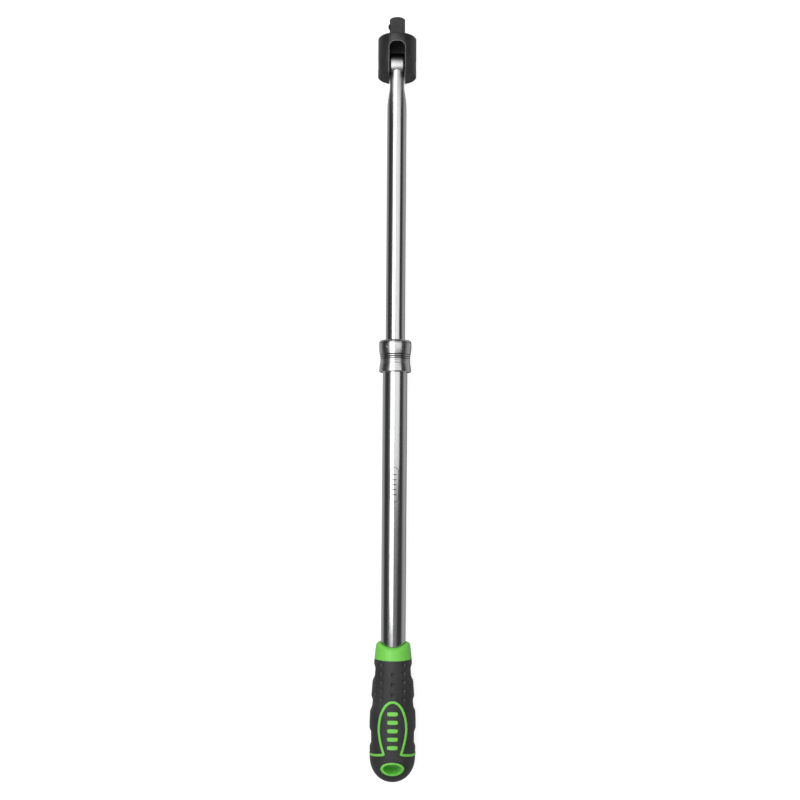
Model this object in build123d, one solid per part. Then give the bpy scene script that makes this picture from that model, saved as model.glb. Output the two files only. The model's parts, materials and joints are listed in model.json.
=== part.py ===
from build123d import *
from math import sqrt
import os

# A telescopic half-inch breaker bar. Sizes are millimetres. The bar lies along X with its
# drive square toward +X, +Z is up and the head's pin lies along Y. The origin is the middle
# of the drive shoulder, so almost every place is a distance behind it, toward -X.

# Fits
running_gap = 0.05  # radial clearance of a piece that turns or slides
seat_gap = 0.02  # radial clearance of a piece that is pressed or glued in
touch_gap = 0.05  # clearance between two faces that rest on each other
screw_gap = 0.2  # radial clearance of the washer on its screw

# Drive square and head
drive_square = 12.7
drive_length = 16.1
drive_corner_radius = 8.35  # the square's corners are turned down to this radius
drive_tip_radius = 5.8
drive_tip_length = 2.2
head_radius = 15.875
head_edge = 0.8
head_ear_length = 10.4  # from the pin's axis to the ears' ends
slot_web = 7.2  # solid metal between the shoulder and the slot
slot_corner = 3.5
slot_side_room = 0.3  # between each ear and the eye
slot_end_room = 5.4  # between the web and the eye
pin_radius = 4.0
pin_end_recess = 0.1

# Ball and spring that hold a socket on the square, on its +Y side
detent_setout = 9.8
detent_ball_radius = 3.0
detent_ball_proud = 1.3
detent_floor = 2.75  # metal left under the bore
detent_lip = 0.45
detent_spring_wire = 0.3
detent_spring_turns = 4

# Sliding rod
rod_radius = 8.0
rod_reach = 257.6  # from the shoulder to the tube's mouth, pulled out
rod_tail_length = 64.4  # full diameter that stays in the tube, pulled out
eye_radius = 10.0
eye_width = 12.6
eye_edge = 1.2
neck_half_depth = 8.4
neck_narrow_width = 11.2
neck_narrow_setback = 19.9  # behind the pin's axis
neck_end_setback = 39.9
tail_spigot_radius = 4.5
tail_bush_length = 12.0
tail_washer_radius = 7.0
tail_washer_thickness = 1.5
tail_screw_radius = 3.0
tail_screw_head_radius = 4.8
tail_screw_head_length = 4.0
tail_screw_depth = 18.0
tail_screw_socket = 3.2  # from the axis to the hexagon's corners

# Ball and spring in the eye that brake the head against one ear
friction_offset = 7.0  # from the pin's axis
friction_ball_radius = 1.6
friction_ball_proud = 0.25
friction_bore_depth = 8.0
friction_spring_wire = 0.22
friction_spring_turns = 4

# Handle tube and what is inside it
tube_wall = 1.55
tube_length = 334.4
tube_edge = 0.4
bush_wall = 0.63
bush_setback = 0.8
bush_length = 60.0
plug_length = 8.0
plug_wall = 2.2
plug_cup_depth = 5.0

# Slide lock: keyway and seats in the rod, ball in the tube, collar over the ball
slide_travel = 185.0
lock_positions = 7
lock_ball_radius = 2.25
lock_ball_gap = 0.1
lock_ball_setback = 3.9  # behind the tube's mouth
keyway_depth = 0.8
seat_depth = 0.85  # below the keyway's floor
lock_lift = 0.9
collar_pull = 4.0

# Lock collar: walls are measured from the tube, and setbacks from the collar's front
collar_overhang = 6.5  # ahead of the tube's mouth
collar_length = 26.7
collar_lip = 2.0
collar_lip_gap = 0.6
collar_front_wall = 3.25
collar_waist_wall = 2.15
collar_rear_wall = 3.05
collar_waist_setback = 17.1
collar_waist_rise = 0.045  # the waist's rise, per square millimetre from its narrowest place
collar_front_round = 2.5
collar_front_land = 2.9  # full diameter behind the rounded edge
collar_rear_round = 0.8
collar_rear_land = 0.6
collar_slide_gap = 0.1
collar_land_length = 1.5
ramp_end_room = 0.3
collar_groove_count = 5
collar_groove_pitch = 1.67
collar_groove_setback = 12.1
collar_groove_depth = 0.25
collar_groove_width = 0.5
collar_spring_wire = 0.4
collar_spring_turns = 3.5
collar_spring_gap = 0.25  # between the spring and the tube
spring_chamber_gap = 0.2  # between the spring and the collar
snap_ring_setback = 16.4  # behind the tube's mouth
snap_ring_thickness = 1.1
snap_ring_proud = 0.9
snap_groove_depth = 0.5
snap_ring_opening = 4.0
end_ring_wall = 1.55

# Two-part grip: setbacks are measured from its mouth, and end distances from its end
grip_length = 113.2
grip_overhang = 26.4  # behind the tube's end
mouth_dip_radius = 25.0
mouth_blank = 6.0  # length ahead of the mouth, which the dip cuts back
grip_mouth_radius = 14.3
ring_length = 10.4
ring_end_radius = 15.5
grip_step_setback = 39.8
grip_step_radius = 17.8
grip_swell_setback = 60.8
grip_swell_radius = 19.2
grip_tail_from_end = 21.4
grip_tail_radius = 18.9
grip_dome_from_end = 8.0
grip_dome_radius = 15.7
grip_half_depth = 17.2  # flats at the top and bottom keep the bar from rolling
core_wall = 2.35
core_from_end = 6.4
line_width = 2.2
arch_tip_setback = 42.8
arch_wide_setback = 66.8
arch_half_width = 12.45
arch_foot_from_end = 26.4
arch_foot_half_width = 8.3
side_line_drop = 3.5  # the line's ends at the sides lie this much further back
mark_count = 5
mark_pitch = 6.9
mark_first_setback = 53.5
mark_width = 8.8
mark_length = 3.4
mark_corner = 1.2
hole_from_end = 14.1
hole_width = 14.8
hole_height = 8.3
eyelet_wall = 1.9

# Head and rod: places and sizes that follow from the ones above
slot_width = eye_width + 2 * slot_side_room
pin_setback = slot_web + slot_end_room + eye_radius
head_length = pin_setback + head_ear_length
detent_center = drive_square / 2 + detent_ball_proud - detent_ball_radius
detent_bore_bottom = detent_floor - drive_square / 2
friction_center = eye_width / 2 + friction_ball_proud - friction_ball_radius
friction_bore_bottom = eye_width / 2 - friction_bore_depth
neck_narrow_back = pin_setback + neck_narrow_setback
neck_end_back = pin_setback + neck_end_setback
rod_back = rod_reach + rod_tail_length
tail_bush_back = rod_back + tail_bush_length
tail_washer_back = tail_bush_back + tail_washer_thickness

# Tube and its fittings
tube_bore = rod_radius + running_gap + bush_wall + seat_gap
tube_radius = tube_bore + tube_wall
tube_front_back = rod_reach
tube_end_back = tube_front_back + tube_length
bush_radius = tube_bore - seat_gap
tail_bush_radius = tube_bore - running_gap
plug_cup_radius = tube_bore - plug_wall
snap_ring_back = tube_front_back + snap_ring_setback
snap_ring_radius = tube_radius + snap_ring_proud
snap_groove_radius = tube_radius - snap_groove_depth
grip_bore = tube_radius + seat_gap

# Lock
lock_ball_back = tube_front_back + lock_ball_setback
lock_seat_bottom = rod_radius - keyway_depth - seat_depth
lock_ball_center = lock_seat_bottom + lock_ball_gap + lock_ball_radius
collar_front_back = tube_front_back - collar_overhang
collar_rear_back = collar_front_back + collar_length
collar_waist_back = collar_front_back + collar_waist_setback
collar_groove_back = collar_front_back + collar_groove_setback
collar_big_radius = tube_radius + collar_front_wall
collar_waist_radius = tube_radius + collar_waist_wall
collar_rear_radius = tube_radius + collar_rear_wall
collar_spring_radius = tube_radius + collar_spring_gap + collar_spring_wire
spring_chamber_radius = collar_spring_radius + collar_spring_wire + spring_chamber_gap
ramp_slope = lock_lift / collar_pull
ramp_at_ball = lock_ball_center + (lock_ball_radius + touch_gap) * sqrt(1 + ramp_slope**2)
land_radius = tube_radius + collar_slide_gap
end_ring_radius = land_radius + end_ring_wall
ramp_rear_back = lock_ball_back + (ramp_at_ball - land_radius) / ramp_slope
ramp_front_back = lock_ball_back - collar_pull - ramp_end_room
pocket_radius = ramp_at_ball + ramp_slope * (lock_ball_back - ramp_front_back)
chamber_front_back = ramp_rear_back + collar_land_length
end_ring_front_back = snap_ring_back + snap_ring_thickness + touch_gap

# Grip
grip_end_back = tube_end_back + grip_overhang
grip_mouth_back = grip_end_back - grip_length
ring_end_back = grip_mouth_back + ring_length
grip_step_back = grip_mouth_back + grip_step_setback
grip_swell_back = grip_mouth_back + grip_swell_setback
grip_tail_back = grip_end_back - grip_tail_from_end
grip_dome_back = grip_end_back - grip_dome_from_end
core_radius = tube_radius + core_wall
core_end_back = grip_end_back - core_from_end
arch_tip_back = grip_mouth_back + arch_tip_setback
arch_wide_back = grip_mouth_back + arch_wide_setback
arch_foot_back = grip_end_back - arch_foot_from_end
mark_first_back = grip_mouth_back + mark_first_setback
hole_back = grip_end_back - hole_from_end


# Cylinder along X between two distances behind the shoulder.
def shaft(radius, front_back, rear_back):
    middle = -(front_back + rear_back) / 2
    return Pos(middle, 0, 0) * Rotation(0, 90, 0) * Cylinder(radius, abs(rear_back - front_back))


# Tube along X between two distances behind the shoulder.
def sleeve(outer, inner, front_back, rear_back):
    return shaft(outer, front_back, rear_back) - shaft(inner, front_back - 1, rear_back + 1)


# Cylinder along Y at a distance behind the shoulder, between two places on Y.
def cross_pin(radius, back, low, high):
    return Pos(-back, (low + high) / 2, 0) * Rotation(90, 0, 0) * Cylinder(radius, high - low)


# Solid turned about X, from an outline of edges in the XY plane.
def turned(edges):
    return revolve(make_face(edges), Axis.X)


# The same from straight lines through (distance behind the shoulder, radius) points.
def turned_straight(points):
    return turned(Polyline([(-back, radius) for back, radius in points], close=True).edges())


# Coil spring along +Z from the origin.
def coil(mean_radius, wire_radius, length, turns):
    height = length - 2 * wire_radius
    path = Pos(0, 0, wire_radius) * Helix(height / turns, height, mean_radius)
    return sweep((path ^ 0) * Circle(wire_radius), path=path, is_frenet=True)


# Square that drives the socket: flats, turned corners and a coned tip.
def drive_tang():
    root = head_edge + 1
    length = drive_length + root
    square = Pos(drive_length - length / 2, 0, 0) * Box(length, drive_square, drive_square)
    turning = turned_straight([
        (root, 0),
        (root, drive_corner_radius),
        (drive_tip_length - drive_length, drive_corner_radius),
        (-drive_length, drive_tip_radius),
        (-drive_length, 0),
    ])
    return square & turning


# Bore for the detent ball, narrowed at its mouth so that the ball can't fall out.
def detent_bore():
    lip_bottom = drive_square / 2 - detent_lip
    bore_radius = detent_ball_radius + running_gap
    low_chord = sqrt(detent_ball_radius**2 - (lip_bottom - detent_center) ** 2)
    high_chord = sqrt(detent_ball_radius**2 - (drive_square / 2 - detent_center) ** 2)
    outline = Polyline([
        (0, detent_bore_bottom),
        (bore_radius, detent_bore_bottom),
        (bore_radius, lip_bottom),
        (low_chord + 2 * running_gap, lip_bottom),
        (high_chord + 2 * running_gap, drive_square / 2 + 0.01),
        (0, drive_square / 2 + 0.01),
    ], close=True)
    return Pos(detent_setout, 0, 0) * revolve(make_face(outline), Axis.Y)


# Fork head with the drive square, a slot for the rod's eye and a bore for the pin.
def drive_head():
    barrel = turned_straight([
        (0, 0),
        (0, head_radius - head_edge),
        (head_edge, head_radius),
        (head_length - head_edge, head_radius),
        (head_length, head_radius - head_edge),
        (head_length, 0),
    ])
    slot_length = head_length - slot_web + 2
    slot = Box(slot_length, slot_width, 3 * head_radius)
    slot = fillet(slot.edges().filter_by(Axis.Z).sort_by(Axis.X)[-2:], slot_corner)
    slot = Pos(-slot_web - slot_length / 2, 0, 0) * slot
    pin_bore = cross_pin(pin_radius + seat_gap, pin_setback, -head_radius - 1, head_radius + 1)
    return barrel + drive_tang() - slot - pin_bore - detent_bore()


# Pressed pin, its ends ground to the head's round.
def pivot_pin():
    pin = cross_pin(pin_radius, pin_setback, -head_radius, head_radius)
    return pin & shaft(head_radius - pin_end_recess, 0, head_length)


def detent_ball():
    return Pos(detent_setout, detent_center, 0) * Sphere(detent_ball_radius)


def detent_spring():
    length = detent_center - detent_ball_radius - detent_bore_bottom
    mean_radius = detent_ball_radius - 2 * detent_spring_wire
    spring = coil(mean_radius, detent_spring_wire, length, detent_spring_turns)
    return Pos(detent_setout, detent_bore_bottom, 0) * Rotation(-90, 0, 0) * spring


# Metal taken off one side of the rod to leave the flat neck, as a block above Y = 0.
def neck_side_cut():
    narrow = neck_narrow_width / 2
    eye_back = pin_setback + eye_radius
    swell = Spline(
        (-neck_end_back, rod_radius + 0.01),
        (-neck_narrow_back, narrow),
        tangents=((1, 0), (1, 0)),
    )
    rest = Polyline([
        (-neck_narrow_back, narrow),
        (-eye_back, eye_width / 2),
        (0, eye_width / 2),
        (0, 2 * rod_radius),
        (-neck_end_back, 2 * rod_radius),
        (-neck_end_back, rod_radius + 0.01),
    ])
    return extrude(make_face(swell.edges() + rest.edges()), 2 * rod_radius, both=True)


# Keyway along the underside that stops the rod turning, and a seat for every lock position.
def lock_keyway():
    cutter = lock_ball_radius + lock_ball_gap
    groove_center = rod_radius - keyway_depth + cutter
    last_back = lock_ball_back - slide_travel
    way = Pos(0, 0, -groove_center) * shaft(cutter, last_back, lock_ball_back)
    for end_back in (last_back, lock_ball_back):
        way += Pos(-end_back, 0, -groove_center) * Sphere(cutter)
    for step in range(lock_positions):
        seat_back = lock_ball_back - step * slide_travel / (lock_positions - 1)
        way += Pos(-seat_back, 0, -lock_ball_center) * Sphere(cutter)
    return way


# Polished rod with a round eye in the head's slot, a flat neck, and a spigot at its tail.
def sliding_rod():
    eye = cross_pin(eye_radius, pin_setback, -eye_width / 2, eye_width / 2)
    eye = fillet(eye.edges().filter_by(GeomType.CIRCLE), eye_edge)
    stem = turned_straight([
        (pin_setback, 0),
        (pin_setback, neck_half_depth),
        (neck_narrow_back, neck_half_depth),
        (neck_end_back, rod_radius),
        (rod_back, rod_radius),
        (rod_back, tail_spigot_radius),
        (tail_bush_back - touch_gap, tail_spigot_radius),
        (tail_bush_back - touch_gap, 0),
    ])
    side = neck_side_cut()
    stem = stem - side - mirror(side, Plane.XZ)
    rod = eye + stem - lock_keyway()
    rod -= cross_pin(pin_radius + running_gap, pin_setback, -eye_width, eye_width)
    friction_back = pin_setback - friction_offset
    bore_radius = friction_ball_radius + running_gap
    rod -= cross_pin(bore_radius, friction_back, friction_bore_bottom, eye_width)
    screw_end_back = tail_washer_back - tail_screw_depth
    return rod - shaft(tail_screw_radius + seat_gap, screw_end_back - 1, tail_bush_back + 1)


def friction_ball():
    return Pos(friction_offset - pin_setback, friction_center, 0) * Sphere(friction_ball_radius)


def friction_spring():
    length = friction_center - friction_ball_radius - friction_bore_bottom
    mean_radius = friction_ball_radius - 2 * friction_spring_wire
    spring = coil(mean_radius, friction_spring_wire, length, friction_spring_turns)
    return Pos(friction_offset - pin_setback, friction_bore_bottom, 0) * Rotation(-90, 0, 0) * spring


def tail_bush():
    bush = sleeve(tail_bush_radius, tail_spigot_radius + seat_gap, rod_back + touch_gap, tail_bush_back)
    outer = bush.edges().filter_by(GeomType.CIRCLE).sort_by(SortBy.RADIUS)[-2:]
    return chamfer(outer, 0.5)


def tail_washer():
    return sleeve(tail_washer_radius, tail_screw_radius + screw_gap, tail_bush_back, tail_washer_back)


# Cap screw that holds the bush on the spigot.
def tail_screw():
    shank = shaft(tail_screw_radius, tail_washer_back - tail_screw_depth, tail_washer_back)
    head_back = tail_washer_back + tail_screw_head_length
    head = shaft(tail_screw_head_radius, tail_washer_back, head_back)
    socket = extrude(RegularPolygon(tail_screw_socket, 6), tail_screw_head_length)
    socket = Pos(-head_back - tail_screw_head_length / 2, 0, 0) * Rotation(0, 90, 0) * socket
    return shank + head - socket


# Hole in the tube and its bush that holds the lock ball.
def lock_ball_hole():
    radius = lock_ball_radius + lock_ball_gap
    return Pos(-lock_ball_back, 0, -tube_radius) * Cylinder(radius, tube_radius)


# Outer tube with the ball's hole and the snap ring's groove near its mouth.
def handle_tube():
    tube = sleeve(tube_radius, tube_bore, tube_front_back, tube_end_back)
    ends = tube.edges().filter_by(GeomType.CIRCLE).sort_by(Axis.X)[-2:]
    tube = chamfer(ends.sort_by(SortBy.RADIUS)[-1], tube_edge)
    groove_rear = snap_ring_back + snap_ring_thickness + touch_gap
    groove = sleeve(tube_radius + 1, snap_groove_radius, snap_ring_back - touch_gap, groove_rear)
    return tube - groove - lock_ball_hole()


# Thin bearing sleeve pressed into the tube's mouth, where the rod slides.
def guide_bush():
    front_back = tube_front_back + bush_setback
    bush = sleeve(bush_radius, rod_radius + running_gap, front_back, front_back + bush_length)
    return bush - lock_ball_hole()


# Plug in the tube's rear end, hollow toward the rod.
def tube_end_plug():
    front_back = tube_end_back - plug_length
    plug = shaft(tube_bore - seat_gap, front_back, tube_end_back)
    return plug - shaft(plug_cup_radius, front_back - 1, front_back + plug_cup_depth)


def lock_ball():
    return Pos(-lock_ball_back, 0, -lock_ball_center) * Sphere(lock_ball_radius)


# Outside of the collar's outline: a rounded front edge, a waist and a smaller rear flare.
def collar_outside(lip_radius):
    front_flat = collar_front_back + collar_front_round
    full_back = front_flat + collar_front_land
    rear_full_back = collar_rear_back - collar_rear_round - collar_rear_land
    round_middle = collar_front_round * (1 - sqrt(0.5))
    front_face_radius = collar_big_radius - collar_front_round
    front = Line((-collar_front_back, lip_radius), (-collar_front_back, front_face_radius))
    front_arc = ThreePointArc(
        front @ 1,
        (-collar_front_back - round_middle, collar_big_radius - round_middle),
        (-front_flat, collar_big_radius),
    )
    top = Line(front_arc @ 1, (-full_back, collar_big_radius))
    waist = Spline(
        top @ 1,
        (-collar_waist_back, collar_waist_radius),
        (-rear_full_back, collar_rear_radius),
        tangents=((-1, 0), (-1, 0)),
    )
    rear_top = Line(waist @ 1, (-collar_rear_back + collar_rear_round, collar_rear_radius))
    rear_edge = Line(rear_top @ 1, (-collar_rear_back, collar_rear_radius - collar_rear_round))
    return [front, front_arc, top, waist, rear_top, rear_edge]


# Inside of the outline: end ring's seat, spring chamber, sliding land, ball ramp and lip.
def collar_inside(start, end, lip_radius):
    return Polyline([
        start,
        (-collar_rear_back, end_ring_radius + seat_gap),
        (-end_ring_front_back, end_ring_radius + seat_gap),
        (-end_ring_front_back, spring_chamber_radius),
        (-chamber_front_back, spring_chamber_radius),
        (-chamber_front_back, land_radius),
        (-ramp_rear_back, land_radius),
        (-ramp_front_back, pocket_radius),
        (-collar_front_back - collar_lip, pocket_radius),
        (-collar_front_back - collar_lip, lip_radius),
        end,
    ])


# Sliding collar whose inner ramp holds the ball in its seat until the collar is pulled back.
def lock_collar():
    lip_radius = rod_radius + collar_lip_gap
    outside = collar_outside(lip_radius)
    inside = collar_inside(outside[-1] @ 1, outside[0] @ 0, lip_radius)
    collar = turned([edge for curve in outside + [inside] for edge in curve.edges()])
    for ring in range(collar_groove_count):
        back = collar_groove_back + ring * collar_groove_pitch
        waist = collar_waist_radius + collar_waist_rise * (back - collar_waist_back) ** 2
        collar -= sleeve(collar_big_radius + 1, waist - collar_groove_depth, back, back + collar_groove_width)
    return collar


# Ring pressed into the collar's rear that stops it against the snap ring.
def collar_end_ring():
    return sleeve(end_ring_radius, land_radius, end_ring_front_back, collar_rear_back)


def collar_spring():
    length = snap_ring_back - chamber_front_back - 2 * touch_gap
    spring = coil(collar_spring_radius, collar_spring_wire, length, collar_spring_turns)
    return Pos(-snap_ring_back + touch_gap, 0, 0) * Rotation(0, 90, 0) * spring


# Open ring in the tube's groove that carries the spring.
def collar_snap_ring():
    rear = snap_ring_back + snap_ring_thickness
    ring = sleeve(snap_ring_radius, snap_groove_radius + seat_gap, snap_ring_back, rear)
    opening = Pos(-snap_ring_back, 0, tube_radius) * Box(4 * snap_ring_thickness, snap_ring_opening, 6)
    return ring - opening


# Outside of the whole grip before it is divided, with the bore for the tube.
def grip_shape():
    end = -grip_end_back
    mouth = mouth_blank - grip_mouth_back
    flank = Spline(
        (mouth, grip_mouth_radius),
        (-ring_end_back, ring_end_radius),
        (-grip_step_back, grip_step_radius),
        (-grip_swell_back, grip_swell_radius),
        (-grip_tail_back, grip_tail_radius),
        (-grip_dome_back, grip_dome_radius),
        (end, 0),
        tangents=((-1, 0), (0, -1)),
    )
    base = Polyline([(end, 0), (mouth, 0), (mouth, grip_mouth_radius)])
    shape = turned(flank.edges() + base.edges())
    width = 3 * grip_swell_radius
    flats = Pos(-grip_mouth_back, 0, 0) * Box(3 * grip_length, width, 2 * grip_half_depth)
    dip = Pos(mouth_dip_radius - grip_mouth_back, 0, 0) * Cylinder(mouth_dip_radius, width)
    bore = shaft(grip_bore, grip_mouth_back - 2 * mouth_blank, tube_end_back + touch_gap)
    return (shape & flats) - dip - bore


# Arch seen from above, drawn smaller by an inset: half an ellipse toward the mouth, then two
# sides that draw in to its feet.
def arch_face(inset):
    wide = arch_half_width - inset
    foot = arch_foot_half_width - inset
    length = arch_wide_back - arch_tip_back - inset
    ahead = Pos(length - arch_wide_back, 0) * Rectangle(2 * length, 2 * arch_half_width)
    crown = (Pos(-arch_wide_back, 0) * Ellipse(length, wide)) & ahead
    left = Spline((-arch_wide_back, wide), (-arch_foot_back, foot), tangents=((-1, 0), (-1, -0.35)))
    right = Spline((-arch_wide_back, -wide), (-arch_foot_back, -foot), tangents=((-1, 0), (-1, 0.35)))
    front = Line(left @ 0, right @ 0)
    base = Line(left @ 1, right @ 1)
    return crown + make_face([front.edge(), left.edge(), base.edge(), right.edge()])


# Raised line: the arch, and from each foot a line round to the side.
def grip_line():
    arch = arch_face(0) - arch_face(line_width)
    near = -arch_foot_back
    far = near - side_line_drop
    reach = grip_swell_radius + 3
    start = arch_foot_half_width - line_width
    outline = Polyline([
        (near, start),
        (near, arch_foot_half_width),
        (far, reach),
        (far - line_width, reach),
        (near - line_width, start),
    ], close=True)
    foot = make_face(outline)
    line = arch + foot + mirror(foot, Plane.XZ)
    return extrude(line, 2 * grip_swell_radius, both=True)


# Hanging hole or its eyelet: an oval through the grip from top to bottom.
def oval_post(wall):
    oval = Pos(-hole_back, 0, 0) * Ellipse(hole_height / 2 + wall, hole_width / 2 + wall)
    return extrude(oval, 2 * grip_swell_radius, both=True)


# Plain rounded bars raised on the grip inside the arch.
def grip_marks():
    marks = []
    for index in range(mark_count):
        place = Pos(-mark_first_back - index * mark_pitch, 0, 0)
        marks.append(place * RectangleRounded(mark_length, mark_width, mark_corner))
    return extrude(Sketch() + marks, 2 * grip_swell_radius, both=True)


# Hard inner moulding: mouth ring, body under the rubber, raised lines, marks and eyelet.
def grip_core(shape):
    ring = shape & shaft(2 * grip_swell_radius, grip_mouth_back - 2 * mouth_blank, ring_end_back)
    body = shape & shaft(core_radius, ring_end_back - 1, core_end_back)
    raised = shape & (grip_line() + grip_marks() + oval_post(eyelet_wall))
    return ring + body + raised - oval_post(0)


# Rubber over the hard moulding: a sleeve ahead of the line and a cover behind it.
def grip_rubber(shape, core):
    rubber = shape - core - oval_post(0)
    pieces = rubber.solids().sort_by(SortBy.VOLUME)[-2:].sort_by(Axis.X)
    return pieces[1], pieces[0]


grip = grip_shape()
core = grip_core(grip)
grip_sleeve, grip_end_cover = grip_rubber(grip, core)

nodes = {
    "drive_head": drive_head(),
    "pivot_pin": pivot_pin(),
    "detent_ball": detent_ball(),
    "detent_spring": detent_spring(),
    "sliding_rod": sliding_rod(),
    "friction_ball": friction_ball(),
    "friction_spring": friction_spring(),
    "tail_bush": tail_bush(),
    "tail_washer": tail_washer(),
    "tail_screw": tail_screw(),
    "handle_tube": handle_tube(),
    "guide_bush": guide_bush(),
    "tube_end_plug": tube_end_plug(),
    "lock_ball": lock_ball(),
    "lock_collar": lock_collar(),
    "collar_end_ring": collar_end_ring(),
    "collar_spring": collar_spring(),
    "collar_snap_ring": collar_snap_ring(),
    "grip_core": core,
    "grip_sleeve": grip_sleeve,
    "grip_end_cover": grip_end_cover,
}

os.makedirs("parts", exist_ok=True)
for name, shape in nodes.items():
    export_step(shape, f"parts/{name}.step")
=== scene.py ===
import bpy
import json
import math
import numpy as np
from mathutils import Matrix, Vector


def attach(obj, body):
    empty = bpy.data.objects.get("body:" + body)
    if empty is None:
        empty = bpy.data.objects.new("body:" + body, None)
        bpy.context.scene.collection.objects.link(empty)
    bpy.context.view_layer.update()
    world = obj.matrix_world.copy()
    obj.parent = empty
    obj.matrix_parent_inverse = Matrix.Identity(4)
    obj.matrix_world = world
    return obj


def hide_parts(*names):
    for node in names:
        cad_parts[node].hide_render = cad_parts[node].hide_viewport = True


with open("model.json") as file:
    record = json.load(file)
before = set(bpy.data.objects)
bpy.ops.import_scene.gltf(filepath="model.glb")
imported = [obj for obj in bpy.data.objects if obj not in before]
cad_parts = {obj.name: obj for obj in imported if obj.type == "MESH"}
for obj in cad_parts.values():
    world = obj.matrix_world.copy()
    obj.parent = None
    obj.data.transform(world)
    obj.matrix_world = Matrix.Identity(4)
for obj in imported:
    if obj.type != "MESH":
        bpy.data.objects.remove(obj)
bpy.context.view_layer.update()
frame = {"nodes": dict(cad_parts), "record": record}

mm = 0.001


def deselectAll():
    if bpy.context.object and bpy.context.object.mode != "OBJECT":
        bpy.ops.object.mode_set(mode="OBJECT")
    bpy.ops.object.select_all(action="DESELECT")


def pick(obj):
    deselectAll()
    obj.select_set(True)
    bpy.context.view_layer.objects.active = obj
    return obj


def named(name):
    obj = bpy.context.object
    obj.name = name
    obj.data.name = name
    return obj


def placeInMesh(obj):
    pick(obj)
    bpy.ops.object.transform_apply(location=True, rotation=True, scale=True)
    return obj


def tidyMesh(obj, gap=0.002 * mm):
    pick(obj)
    bpy.ops.object.mode_set(mode="EDIT")
    bpy.ops.mesh.select_all(action="SELECT")
    bpy.ops.mesh.remove_doubles(threshold=gap)
    bpy.ops.mesh.normals_make_consistent(inside=False)
    bpy.ops.object.mode_set(mode="OBJECT")
    return obj


def smooth(obj, degrees=32):
    pick(obj)
    bpy.ops.object.shade_smooth_by_angle(angle=math.radians(degrees))
    return obj


def applied(obj, kind, **settings):
    pick(obj)
    modifier = obj.modifiers.new(kind.lower(), kind)
    for key, value in settings.items():
        setattr(modifier, key, value)
    bpy.ops.object.modifier_apply(modifier=modifier.name)
    return obj


def cut(obj, cutter, operation="DIFFERENCE", keepCutter=False):
    applied(obj, "BOOLEAN", object=cutter, operation=operation, solver="EXACT")
    if not keepCutter:
        bpy.data.objects.remove(cutter)
    return obj


def join(name, pieces):
    deselectAll()
    for piece in pieces:
        piece.select_set(True)
    bpy.context.view_layer.objects.active = pieces[0]
    bpy.ops.object.join()
    return named(name)


# a point drawn out along (x, radius) places in millimetres, then spun about the bar's axis
def lathe(name, outline, steps=128):
    deselectAll()
    bpy.ops.mesh.primitive_plane_add(size=mm)
    obj = named(name)
    bpy.ops.object.mode_set(mode="EDIT")
    bpy.ops.mesh.select_mode(type="VERT")
    bpy.ops.mesh.select_all(action="SELECT")
    bpy.ops.mesh.merge(type="CENTER")
    x, radius = outline[0]
    bpy.ops.transform.translate(value=(x * mm, 0, radius * mm))
    for nextX, nextRadius in outline[1:]:
        move = ((nextX - x) * mm, 0, (nextRadius - radius) * mm)
        bpy.ops.mesh.extrude_region_move(TRANSFORM_OT_translate={"value": move})
        x, radius = nextX, nextRadius
    bpy.ops.mesh.select_all(action="SELECT")
    bpy.ops.mesh.spin(steps=steps, angle=2 * math.pi, center=(0, 0, 0), axis=(1, 0, 0))
    bpy.ops.object.mode_set(mode="OBJECT")
    return tidyMesh(obj)


# a rounded corner of an outline, as places from one angle to another in degrees
def corner(x, radius, size, start, end, steps=6):
    angles = [math.radians(start + (end - start) * k / steps) for k in range(steps + 1)]
    return [(x + size * math.cos(a), radius + size * math.sin(a)) for a in angles]


# a grid whose points go where place(row, column) says, with its seams closed
def wrappedGrid(name, rows, columns, place):
    deselectAll()
    bpy.ops.mesh.primitive_grid_add(x_subdivisions=rows, y_subdivisions=columns, size=1)
    obj = named(name)
    flat = np.empty(len(obj.data.vertices) * 3)
    obj.data.vertices.foreach_get("co", flat)
    grid = flat.reshape(-1, 3)
    row = np.rint((grid[:, 0] + 0.5) * rows).astype(int)
    column = np.rint((grid[:, 1] + 0.5) * columns).astype(int)
    obj.data.vertices.foreach_set("co", (place(row, column) * mm).ravel())
    obj.data.update()
    return tidyMesh(obj)


class Socket:
    def __init__(self, shader, link):
        self.shader = shader
        self.link = link

    def math(self, operation, other, swap=False):
        values = (other, self) if swap else (self, other)
        return self.shader.add("Math", {"operation": operation}, {0: values[0], 1: values[1]})[0]

    def __add__(self, other):
        return self.math("ADD", other)

    def __sub__(self, other):
        return self.math("SUBTRACT", other)

    def __rsub__(self, other):
        return self.math("SUBTRACT", other, swap=True)

    def __mul__(self, other):
        return self.math("MULTIPLY", other)

    def __lt__(self, other):
        return self.math("LESS_THAN", other)

    def __gt__(self, other):
        return self.math("GREATER_THAN", other)

    __radd__ = __add__
    __rmul__ = __mul__


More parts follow.
